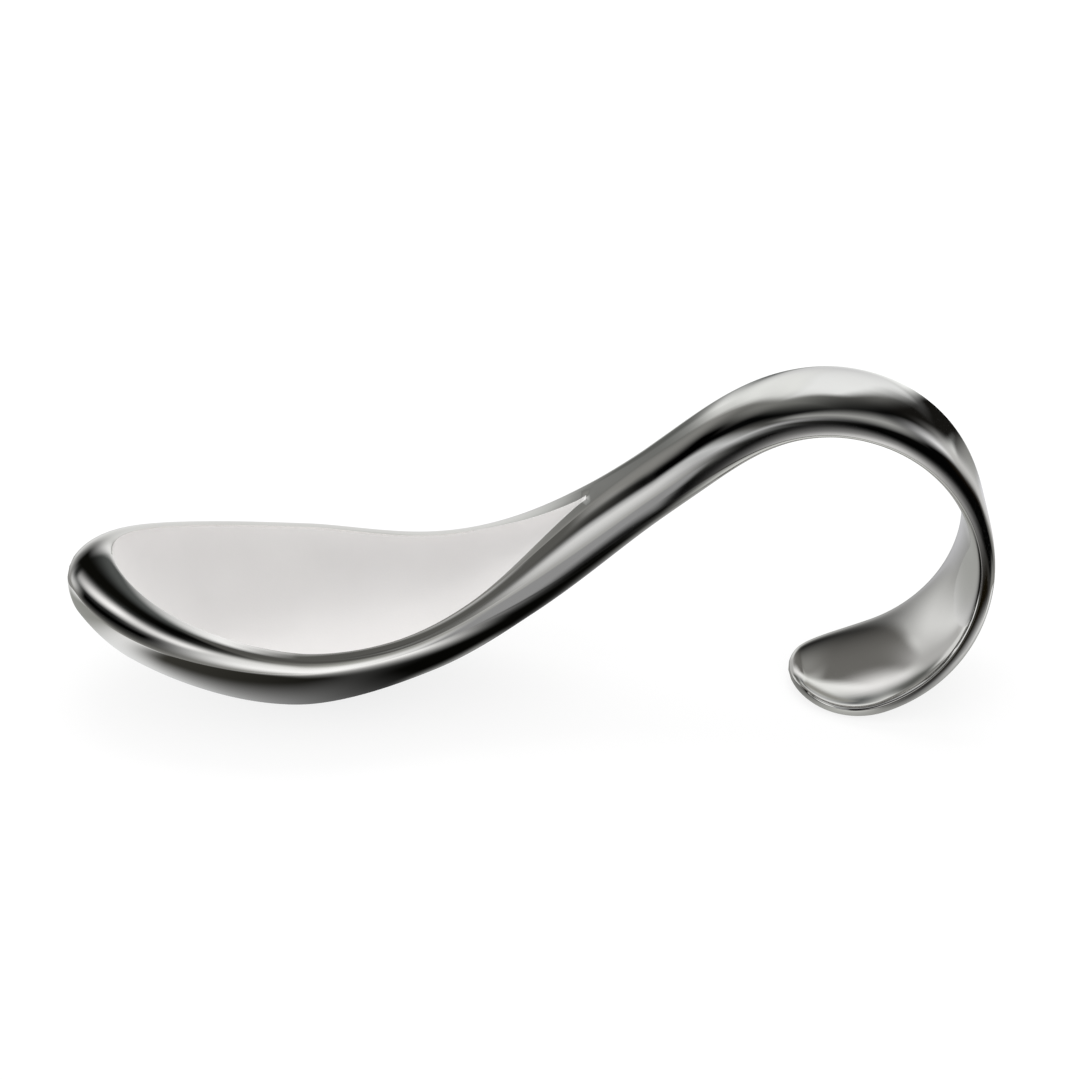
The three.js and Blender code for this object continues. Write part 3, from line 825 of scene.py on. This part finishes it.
def addTent(setup, group):
    radii = [radius * millimetre for radius in setup["tentRadii"]]
    underEquator = -0.01
    mesh = bpy.data.meshes.new("lightTent")
    shell = bmesh.new()
    bmesh.ops.create_uvsphere(shell, u_segments=setup["tentSegments"],
                              v_segments=setup["tentRings"], radius=1)
    below = [vertex for vertex in shell.verts if vertex.co.z < underEquator]
    bmesh.ops.delete(shell, geom=below, context="VERTS")
    bmesh.ops.scale(shell, vec=radii, verts=shell.verts)
    shell.to_mesh(mesh)
    shell.free()
    faced = []
    cards = setup["tentCards"].values()
    for color, strength, azimuth, elevation, *halfSizes, turn, softness in cards:
        angles = [math.radians(angle) for angle in (azimuth, elevation, turn)]
        faced.append({"color": color, "strength": strength, "halfSizes": halfSizes,
                      "softness": softness, "offset": (0, 0, 0),
                      "directions": cardFacing(*angles)})
    scale = [1 / radius for radius in radii]
    mesh.materials.append(glowing("light tent fabric", setup["tentColor"], scale, faced, group))
    tent = bpy.data.objects.new("lightTent", mesh)
    bpy.context.scene.collection.objects.link(tent)
    showOnlyInReflections(tent)


# sheets on the table that only reflections see; the dark ones under the spoon carry painted shadow
# of the table
def addTable(setup, group):
    mesh = levelSheet("tableCards", setup["tableReach"], setup["tableLift"])
    faced = []
    cards = setup["tableCards"].values()
    for color, strength, middleX, middleY, *halfSizes, turn, softness in cards:
        turned = math.radians(turn)
        faced.append({"color": color, "strength": strength, "halfSizes": halfSizes,
                      "softness": softness, "offset": (-middleX, -middleY, 1),
                      "directions": ((math.cos(turned), math.sin(turned), 0),
                                     (-math.sin(turned), math.cos(turned), 0), (0, 0, 1))})
    scale = (1 / millimetre, 1 / millimetre, 0)
    mesh.materials.append(glowing("table cards and painted shade, as the polish sees them", setup["tableColor"], scale, faced, group))
    table = bpy.data.objects.new("tableCards", mesh)
    bpy.context.scene.collection.objects.link(table)
    showOnlyInReflections(table)


def addPaper(setup):
    # white paper: what the camera sees is mostly plain white, with a share of the shadow;
    # from below it is clear, so that the underside can be looked at
    mesh = levelSheet("paper", setup["paperReach"], 0)
    material = bpy.data.materials.new("white paper")
    material.use_nodes = True
    tree = material.node_tree
    tree.nodes.clear()
    lit = addNode(tree, "ShaderNodeBsdfDiffuse",
                  {"Color": linearColor(setup["paperColor"]), "Roughness": 1.0})
    plain = addNode(tree, "ShaderNodeEmission", {"Color": (1, 1, 1, 1)})
    camera = addNode(tree, "ShaderNodeLightPath", out="Is Camera Ray")
    share = addNode(tree, "ShaderNodeMath", {0: camera, 1: 1 - setup["shadowShare"]},
                    operation="MULTIPLY")
    mixed = addNode(tree, "ShaderNodeMixShader", {0: share, 1: lit, 2: plain})
    clear = addNode(tree, "ShaderNodeBsdfTransparent")
    below = addNode(tree, "ShaderNodeNewGeometry", out="Backfacing")
    seen = addNode(tree, "ShaderNodeMixShader", {0: below, 1: mixed, 2: clear})
    addNode(tree, "ShaderNodeOutputMaterial", {"Surface": seen}, out=None)
    mesh.materials.append(material)
    paper = bpy.data.objects.new("paper", mesh)
    bpy.context.scene.collection.objects.link(paper)


def addWorld(setup):
    world = bpy.data.worlds.new("studio light")
    bpy.context.scene.world = world
    world.use_nodes = True
    background = world.node_tree.nodes["Background"]
    background.inputs["Color"].default_value = linearColor(setup["worldColor"])
    background.inputs["Strength"].default_value = setup["worldStrength"]


def addBackLight(setup):
    place = Vector(setup["backLightPlace"])
    data = bpy.data.lights.new("backLight", "AREA")
    data.energy = setup["backLightPower"]
    data.size = setup["backLightSize"] * millimetre
    light = bpy.data.objects.new("backLight", data)
    light.location = place * millimetre
    light.rotation_euler = place.to_track_quat("Z", "Y").to_euler()
    light.visible_glossy = False
    bpy.context.scene.collection.objects.link(light)


addPaper(studio)
addWorld(studio)
addBackLight(studio)
cardGroup = softCardGroup()
addTent(studio, cardGroup)
addTable(studio, cardGroup)
bpy.context.scene.view_settings.view_transform = "Standard"
print("studio built")
